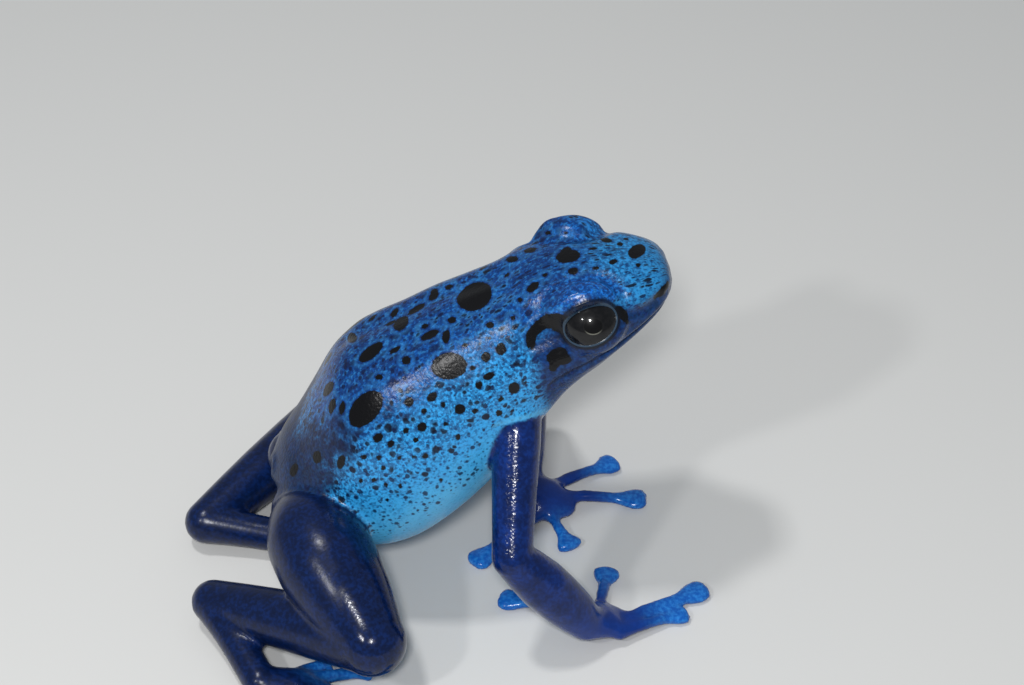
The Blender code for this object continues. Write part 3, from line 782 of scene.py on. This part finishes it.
def mark_ends(mesh, points, folded):
    """The disks at the tips of the digits, and the line of the mouth."""
    tips = np.array([[*tip, 0.5] for side in JOINTS for tip in FINGER_TIPS[side] + TOE_TIPS[side]])
    away = np.min(np.linalg.norm(points[:, None] - tips[None], axis=2), axis=1)
    add_mark(mesh, "tip", step(4.5, 0.8, away))

    line = smooth_rows([(x, 0.0, z) for x, z in MOUTH_LINE], 6)
    away = stroke_distance(folded * (1, 0, 1), line, np.zeros(len(line)))
    add_mark(mesh, "mouth", np.where(folded[:, 0] > MOUTH_CORNER[0], away, FAR))


def mark_skin(skin):
    """The fields that the skin's colours are read from, as values on its points."""
    points = read_points(skin.mesh)
    folded = near_side(points)
    mark_spots(skin, points, folded)
    mark_limbs(skin.mesh, points)
    mark_back(skin.mesh, points)
    mark_head(skin, points, folded)
    mark_ends(skin.mesh, points, folded)


def nearest_gap(points, names):
    """Distance in millimetres from each point to the nearest of some CAD nodes."""
    bm = bmesh.new()
    for name in names:
        bm.from_mesh(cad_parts[name].data)
    tree = BVHTree.FromBMesh(bm)
    bm.free()
    return np.array([tree.find_nearest(Vector(p))[3] for p in metres(points)]) / MM


def finish_piece(name, mesh, paint, replaced):
    """Brings a mesh to metres, gives it its object and finish, hangs it under the root body and hides the CAD
    nodes that it replaces.
    """
    write_points(mesh, metres(read_points(mesh)))
    mesh.name = name
    mesh.materials.clear()
    mesh.materials.append(paint)
    mesh.shade_smooth()
    made = bpy.data.objects.new(name, mesh)
    bpy.context.scene.collection.objects.link(made)
    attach(made, "root")
    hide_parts(*replaced)
    return made


# Materials, with their colours as on a screen, from 0 to 255
SHADES = {
    "pale belly": (80, 182, 234), "flank": (48, 158, 226), "back": (11, 84, 164),
    "ridge": (12, 66, 122), "snout": (15, 82, 142), "lid": (18, 112, 214), "speckle": (4, 36, 88),
    "mottle": (5, 36, 90), "vein": (54, 140, 206), "dot halo": (86, 174, 228),
    "blotch": (4, 20, 58), "small dot": (6, 34, 92), "middle dot": (4, 18, 56),
    # Painted shade: the dark blue for the groove between lid and crown stands in the next row
    "large dot": (3, 10, 30), "spot halo": (66, 154, 218), "groove_shade": (6, 34, 84),
    "dark cheek": (4, 26, 70), "cheek": (9, 44, 104), "dark leg": (5, 22, 58), "leg": (9, 34, 84),
    "dark arm": (7, 33, 90), "arm": (12, 46, 116), "limb shade": (3, 13, 40), "hand": (14, 56, 140),
    "dark disk": (18, 90, 178), "disk": (42, 126, 208), "hem": (84, 172, 220),
    "black spot": (5, 5, 8), "mouth": (4, 10, 34), "eye surround": (5, 8, 18),
    # Painted reflection: the pale grey of the ring at each eye's rim stands in the next row
    "rim reflection": (62, 84, 104), "dark iris": (8, 9, 12), "iris": (17, 17, 19), "pupil": (3, 3, 4),
    "pale crescent": (120, 120, 110), "eye edge": (7, 8, 12), "floor": (214, 214, 212),
}
SKIN_GLOSS = {
    "IOR": 1.35, "Specular IOR Level": 0.5, "Coat Weight": 0.12, "Coat Roughness": 0.2, "Coat IOR": 1.34,
}
EYE_GLOSS = {
    "Roughness": 0.3, "Specular IOR Level": 0.1, "Coat Weight": 1.0, "Coat Roughness": 0.03, "Coat IOR": 1.36,
}
SKIN_FIELDS = ("spots", "limb", "rump", "back", "tip", "mouth", "hem", "cheek", "rim", "lid", "groove_shade")


def colour(name):
    """A named colour in Blender's linear values."""
    value = np.array(SHADES[name]) / 255
    linear = np.where(value <= 0.04045, value / 12.92, ((value + 0.055) / 1.055) ** 2.4)
    return (*linear, 1.0)


class Nodes:
    """Short calls that add nodes to a tree and link what is given to them."""

    def __init__(self, tree):
        self.tree = tree
        tree.nodes.clear()

    def add(self, kind, settings=None, **inputs):
        node = self.tree.nodes.new(kind)
        for key, value in (settings or {}).items():
            setattr(node, key, value)
        for key, value in inputs.items():
            self.put(node.inputs[key.replace("_", " ")], value)
        return node

    def put(self, socket, value):
        if isinstance(value, bpy.types.NodeSocket):
            self.tree.links.new(value, socket)
        else:
            socket.default_value = value

    def math(self, operation, first, second):
        node = self.tree.nodes.new("ShaderNodeMath")
        node.operation = operation
        self.put(node.inputs[0], first)
        self.put(node.inputs[1], second)
        return node.outputs[0]

    def ramp(self, value, low, high, start=0.0, end=1.0):
        """A smooth step of a value from start at low to end at high."""
        node = self.tree.nodes.new("ShaderNodeMapRange")
        node.interpolation_type = "SMOOTHSTEP"
        for place, given in zip(range(5), (value, low, high, start, end)):
            self.put(node.inputs[place], given)
        return node.outputs[0]

    def mix(self, factor, first, second):
        node = self.tree.nodes.new("ShaderNodeMix")
        node.data_type = "RGBA"
        self.put(node.inputs[0], factor)
        self.put(node.inputs[6], first)
        self.put(node.inputs[7], second)
        return node.outputs[2]

    def waver(self, value, noise, reach):
        """A value moved up and down by a noise, so that what is read from it has a ragged edge."""
        return self.math("ADD", value, self.math("MULTIPLY", self.math("SUBTRACT", noise, 0.5), reach))

    def mark(self, name):
        return self.add("ShaderNodeAttribute", {"attribute_name": name}).outputs["Fac"]

    def noise(self, place, scale, detail=2.0):
        node = self.add("ShaderNodeTexNoise", Vector=place, Scale=scale, Detail=detail)
        return node.outputs["Fac"]

    def cells(self, place, scale, smooth=False):
        """Distance to the nearest of scattered points, and a value drawn for each."""
        settings = {"feature": "SMOOTH_F1"} if smooth else {}
        node = self.add("ShaderNodeTexVoronoi", settings, Vector=place, Scale=scale)
        drawn = self.add("ShaderNodeSeparateColor", Color=node.outputs["Color"])
        return node.outputs["Distance"], drawn.outputs[0]

    def dots(self, place, scale, weight, largest, soft=0.07):
        """Round dots of unlike sizes, the larger the greater the weight."""
        near, drawn = self.cells(place, scale)
        radius = self.math("MULTIPLY", weight, self.ramp(drawn, 0.0, 1.0, largest * 0.5, largest))
        away = self.math("SUBTRACT", near, radius)
        return away, self.ramp(away, -soft, soft, 1.0, 0.0)


def body_colour(n, place, marks, grain, drift):
    """Azure that pales to the belly, with dots that grow finer towards it."""
    back, around = marks["back"], n.add("ShaderNodeAttribute", {"attribute_name": "sheet"}).outputs["Vector"]
    wavy = n.waver(back, drift, 3.0)
    azure = n.mix(n.ramp(wavy, -4.0, 1.5), colour("pale belly"), colour("flank"))
    azure = n.mix(n.ramp(wavy, 4.0, 7.2), azure, colour("back"))
    azure = n.mix(n.ramp(wavy, 6.8, 10.0), azure, colour("ridge"))
    forward = n.add("ShaderNodeSeparateXYZ", Vector=place).outputs["X"]
    azure = n.mix(n.ramp(forward, 0.006, 0.013, 0.0, 0.42), azure, colour("snout"))
    azure = n.mix(n.math("MULTIPLY", marks["lid"], 0.8), azure, colour("lid"))
    fine = n.noise(place, 4000.0, 3.0)
    speckle = n.ramp(n.math("ADD", fine, n.math("MULTIPLY", back, 0.014)), 0.45, 0.63)
    speckle = n.math("MULTIPLY", speckle, n.ramp(wavy, -3.0, 3.0, 0.15, 0.7))
    azure = n.mix(speckle, azure, colour("speckle"))
    mottle = n.math("MULTIPLY", n.ramp(grain, 0.49, 0.38), n.ramp(wavy, 0.5, 3.5, 0.0, 0.6))
    azure = n.mix(mottle, azure, colour("mottle"))
    veins = n.ramp(grain, 0.54, 0.66)
    azure = n.mix(n.math("MULTIPLY", veins, 0.4), azure, colour("vein"))

    bend = n.add("ShaderNodeVectorMath", {"operation": "SCALE"}, Scale=0.34)
    n.put(bend.inputs[0], n.add("ShaderNodeTexNoise", Vector=around, Scale=1.6, Detail=2.0).outputs["Color"])
    sheet = n.add("ShaderNodeVectorMath", {"operation": "ADD"})
    n.put(sheet.inputs[0], around)
    n.put(sheet.inputs[1], bend.outputs[0])
    long_sheet = n.add("ShaderNodeVectorMath", {"operation": "MULTIPLY"})
    n.put(long_sheet.inputs[0], sheet.outputs[0])
    long_sheet.inputs[1].default_value = (0.55, 1.0, 1.0)

    flank = n.math("MULTIPLY", n.ramp(wavy, -2.6, 2.2), n.ramp(wavy, 8.5, 6.0))
    off_lid = n.ramp(marks["lid"], 0.2, 0.7, 1.0, 0.0)
    clear_of_spots = n.math("MULTIPLY", n.ramp(marks["spots"], 0.15, 0.36), off_lid)
    large, dark = n.dots(sheet.outputs[0], 1.0, n.math("MULTIPLY", flank, clear_of_spots), 0.36)
    halo = n.ramp(large, 0.32, 0.04)
    low = n.ramp(wavy, -5.2, -2.0)
    _, middle = n.dots(sheet.outputs[0], 1.55, n.math("MULTIPLY", low, clear_of_spots), 0.36, 0.08)
    _, small = n.dots(sheet.outputs[0], 2.5, n.math("MULTIPLY", low, n.ramp(wavy, 7.5, 3.0)), 0.3, 0.12)
    top = n.math("MULTIPLY", n.ramp(wavy, 2.5, 5.0), clear_of_spots)
    _, blotch = n.dots(long_sheet.outputs[0], 1.15, top, 0.34, 0.12)
    azure = n.mix(n.math("MULTIPLY", halo, 0.14), azure, colour("dot halo"))
    azure = n.mix(n.math("MULTIPLY", blotch, 0.78), azure, colour("blotch"))
    azure = n.mix(n.math("MULTIPLY", small, 0.74), azure, colour("small dot"))
    azure = n.mix(n.math("MULTIPLY", middle, 0.88), azure, colour("middle dot"))
    return n.mix(n.math("MULTIPLY", dark, 0.95), azure, colour("large dot"))


def limb_colour(n, marks, grain, drift, forward, height):
    """Navy legs, brighter arms and hands, and bright disks at the tips of the digits."""
    navy = n.mix(n.ramp(grain, 0.38, 0.66), colour("dark leg"), colour("leg"))
    arm = n.mix(n.ramp(grain, 0.38, 0.66), colour("dark arm"), colour("arm"))
    navy = n.mix(n.ramp(forward, -0.004, 0.001), navy, arm)
    navy = n.mix(n.ramp(drift, 0.35, 0.7, 0.0, 0.5), navy, colour("limb shade"))
    hand = n.math("MULTIPLY", n.ramp(forward, -0.003, 0.001), n.ramp(height, 0.0065, 0.0015, 0.0, 0.6))
    navy = n.mix(hand, navy, colour("hand"))
    disk = n.mix(n.ramp(grain, 0.35, 0.7), colour("dark disk"), colour("disk"))
    return n.mix(n.math("MULTIPLY", marks["tip"], n.ramp(drift, 0.2, 0.7, 0.8, 1.0)), navy, disk)


def skin_material():
    made = bpy.data.materials.new("wet_spotted_skin")
    made.use_nodes = True
    n = Nodes(made.node_tree)
    place = n.add("ShaderNodeTexCoord").outputs["Object"]
    marks = {name: n.mark(name) for name in SKIN_FIELDS}
    drift = n.noise(place, 700.0, 3.0)
    grain = n.noise(place, 3000.0, 3.0)
    azure = body_colour(n, place, marks, grain, drift)

    ragged = n.waver(marks["spots"], grain, 0.2)
    halo = n.math("MULTIPLY", n.ramp(ragged, 0.06, 0.2), n.ramp(ragged, 0.6, 0.25))
    azure = n.mix(n.math("MULTIPLY", halo, 0.16), azure, colour("spot halo"))
    # Painted shade: a ragged dark blue band along the groove between each upper lid and the crown
    groove_shade = n.ramp(n.waver(marks["groove_shade"], grain, 1.6), 0.1, 0.7, 0.35, 0.0)
    azure = n.mix(groove_shade, azure, colour("groove_shade"))
    cheek = n.mix(n.ramp(grain, 0.4, 0.65), colour("dark cheek"), colour("cheek"))
    azure = n.mix(n.math("MULTIPLY", n.ramp(marks["cheek"], -1.1, 0.3), 0.92), azure, cheek)

    parts = n.add("ShaderNodeSeparateXYZ", Vector=place)
    forward, height = parts.outputs["X"], parts.outputs["Z"]
    navy = limb_colour(n, marks, grain, drift, forward, height)
    rear = n.ramp(n.waver(marks["rump"], drift, 2.6), -0.7, 0.9, 0.0, 0.95)
    base = n.mix(n.math("MAXIMUM", rear, marks["limb"]), azure, navy)
    hem = n.math("MULTIPLY", n.ramp(marks["hem"], -0.5, -0.15), n.ramp(marks["hem"], 0.1, -0.05))
    base = n.mix(n.math("MULTIPLY", hem, 0.55), base, colour("hem"))

    on_body = n.math("SUBTRACT", 1.0, marks["limb"])
    black = n.math("MULTIPLY", n.ramp(ragged, 0.06, -0.06), on_body)
    base = n.mix(black, base, colour("black spot"))
    base = n.mix(n.ramp(marks["mouth"], 0.05, 0.2, 0.75, 0.0), base, colour("mouth"))
    base = n.mix(n.ramp(marks["rim"], 0.5, 0.22, 0.0, 0.92), base, colour("eye surround"))
    # Painted reflection: a thin pale grey ring on the skin right at each eye's rim, standing for light caught
    # at the eyeball's edge
    rim = n.math("MULTIPLY", n.ramp(marks["rim"], 0.07, 0.02), n.ramp(marks["rim"], -0.1, -0.05))
    base = n.mix(n.math("MULTIPLY", rim, 0.6), base, colour("rim reflection"))

    grains, _ = n.cells(place, 4600.0, True)
    relief = n.math("ADD", n.math("MULTIPLY", grains, -0.6), n.math("MULTIPLY", grain, 0.8))
    grainy_limb = n.math("MULTIPLY", n.ramp(forward, -0.003, 0.002), n.ramp(height, 0.008, 0.012))
    grainy_limb = n.math("ADD", 0.4, n.math("MULTIPLY", grainy_limb, 0.7))
    on_limb = n.math("MULTIPLY", marks["limb"], n.math("SUBTRACT", grainy_limb, 1.0))
    relief = n.math("MULTIPLY", relief, n.math("ADD", 1.0, on_limb))
    rough = n.math("ADD", n.ramp(rear, 0.0, 1.0, 0.26, 0.38), n.math("MULTIPLY", marks["limb"], -0.1))
    bump = n.add("ShaderNodeBump", Strength=0.45, Distance=0.00006, Height=relief)

    shader = n.add("ShaderNodeBsdfPrincipled", Base_Color=base, Roughness=rough, Normal=bump.outputs[0])
    for socket, value in SKIN_GLOSS.items():
        shader.inputs[socket].default_value = value
    n.add("ShaderNodeOutputMaterial", Surface=shader.outputs[0])
    return made


def eye_material():
    made = bpy.data.materials.new("wet_black_eye")
    made.use_nodes = True
    n = Nodes(made.node_tree)
    place = n.add("ShaderNodeTexCoord").outputs["Object"]
    turn, pupil, lower = n.mark("turn"), n.mark("pupil"), n.mark("lower")
    streaks = n.noise(place, 2600.0, 4.0)
    iris = n.mix(n.ramp(streaks, 0.4, 0.62), colour("dark iris"), colour("iris"))
    base = n.mix(n.ramp(pupil, 0.97, 1.04), colour("pupil"), iris)
    # A pale crescent round the lower edge of the pupil, fading out towards its top
    ring = n.math("MULTIPLY", n.ramp(pupil, 0.94, 1.02), n.ramp(pupil, 1.16, 1.06))
    base = n.mix(n.math("MULTIPLY", ring, n.ramp(lower, 0.3, 0.95, 0.01, 0.8)), base, colour("pale crescent"))
    base = n.mix(n.ramp(turn, 1.0, 1.12, 0.0, 0.8), base, colour("eye edge"))
    shader = n.add("ShaderNodeBsdfPrincipled", Base_Color=base)
    for socket, value in EYE_GLOSS.items():
        shader.inputs[socket].default_value = value
    n.add("ShaderNodeOutputMaterial", Surface=shader.outputs[0])
    return made


# Pieces
def make_skin():
    mesh = fuse(flesh())
    relax(mesh, 1.0, FIRST_ROUNDS, SWELL)
    refine(mesh, read_points(mesh) @ HEAD_WAY > HEAD_FROM)
    relax(mesh, 1.0, LAST_ROUNDS, SWELL)
    points = read_points(mesh)
    palms = [np.mean([at["wrist"], at["knuckles"], at["knuckles"]], axis=0) for at in JOINTS.values()]
    away = np.min([np.linalg.norm(points - palm, axis=1) for palm in palms], axis=0)
    relax(mesh, step(*PALM_REACH, away), PALM_ROUNDS, PALM_SWELL)
    skin = Skin(mesh)
    carve_folds(skin)
    carve_mouth(mesh)
    open_lids(mesh)
    mark_skin(Skin(mesh))
    points = read_points(mesh)
    points[:, 2] = np.maximum(points[:, 2], 0.0)
    write_points(mesh, points)
    flesh_nodes = [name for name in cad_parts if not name.endswith("_eye")]
    return finish_piece("frog_skin", mesh, skin_material(), flesh_nodes)


def make_eye(name, mirror, paint):
    """An eyeball with its pole on the eye's axis, and the angle from it as a value."""
    bm = bmesh.new()
    bmesh.ops.create_uvsphere(bm, u_segments=96, v_segments=72, radius=EYE_RADIUS)
    axis = Vector(EYE_AXIS * mirror)
    turn = Vector((0, 0, 1)).rotation_difference(axis).to_matrix()
    bmesh.ops.rotate(bm, verts=bm.verts, matrix=turn, cent=(0, 0, 0))
    bmesh.ops.translate(bm, verts=bm.verts, vec=Vector(EYE_AT * mirror))
    mesh = bpy.data.meshes.new(name)
    bm.to_mesh(mesh)
    bm.free()
    away = (read_points(mesh) - EYE_AT * mirror) / EYE_RADIUS
    add_mark(mesh, "turn", np.arccos(np.clip(away @ np.array(axis), -1, 1)))
    gaze = PUPIL_AXIS * mirror
    level, upright = frame_along(gaze)
    across, rise = away @ level, away @ upright
    front = away @ gaze > 0
    add_mark(mesh, "pupil", np.where(front, np.hypot(across / PUPIL_SIZE[0], rise / PUPIL_SIZE[1]), 4.0))
    add_mark(mesh, "lower", -rise / np.maximum(np.hypot(across, rise), 1e-4))
    return finish_piece(f"glossy_{name}", mesh, paint, [name])


def make_floor():
    bm = bmesh.new()
    bmesh.ops.create_grid(bm, x_segments=1, y_segments=1, size=2.0)
    mesh = bpy.data.meshes.new("floor")
    bm.to_mesh(mesh)
    bm.free()
    floor = bpy.data.objects.new("floor", mesh)
    bpy.context.scene.collection.objects.link(floor)
    made = bpy.data.materials.new("pale_floor")
    made.use_nodes = True
    shader = made.node_tree.nodes["Principled BSDF"]
    shader.inputs["Base Color"].default_value = colour("floor")
    shader.inputs["Roughness"].default_value = 0.8
    mesh.materials.append(made)


def make_light(name, place, size, power):
    data = bpy.data.lights.new(name, "AREA")
    data.shape = "RECTANGLE"
    data.size, data.size_y = (side * MM for side in size)
    data.energy = power
    made = bpy.data.objects.new(name, data)
    made.location = metres(place)
    toward = Vector(metres(LIGHT_AIM)) - made.location
    made.rotation_euler = toward.to_track_quat("-Z", "Y").to_euler()
    bpy.context.scene.collection.objects.link(made)


def light_scene():
    for name, lamp in LIGHTS.items():
        make_light(name, *lamp)
    world = bpy.data.worlds.new("studio")
    world.use_nodes = True
    world.node_tree.nodes["Background"].inputs["Color"].default_value = STUDIO_TINT
    world.node_tree.nodes["Background"].inputs["Strength"].default_value = STUDIO_STRENGTH
    bpy.context.scene.world = world


def make_camera():
    place, look, _, _ = camera_frame()
    data = bpy.data.cameras.new("photo_camera")
    data.lens, data.sensor_width = LENS, SENSOR
    data.clip_start, data.clip_end = 0.01, 10.0
    camera = bpy.data.objects.new("photo_camera", data)
    camera.location = metres(place)
    camera.rotation_euler = Vector(look).to_track_quat("-Z", "Y").to_euler()
    bpy.context.scene.collection.objects.link(camera)
    bpy.context.scene.camera = camera


def main():
    make_camera()
    make_floor()
    light_scene()
    bpy.context.scene.view_settings.view_transform = "Standard"
    make_skin()
    eye_paint = eye_material()
    make_eye("right_eye", np.array([1, 1, 1]), eye_paint)
    make_eye("left_eye", FAR_SIDE, eye_paint)


main()
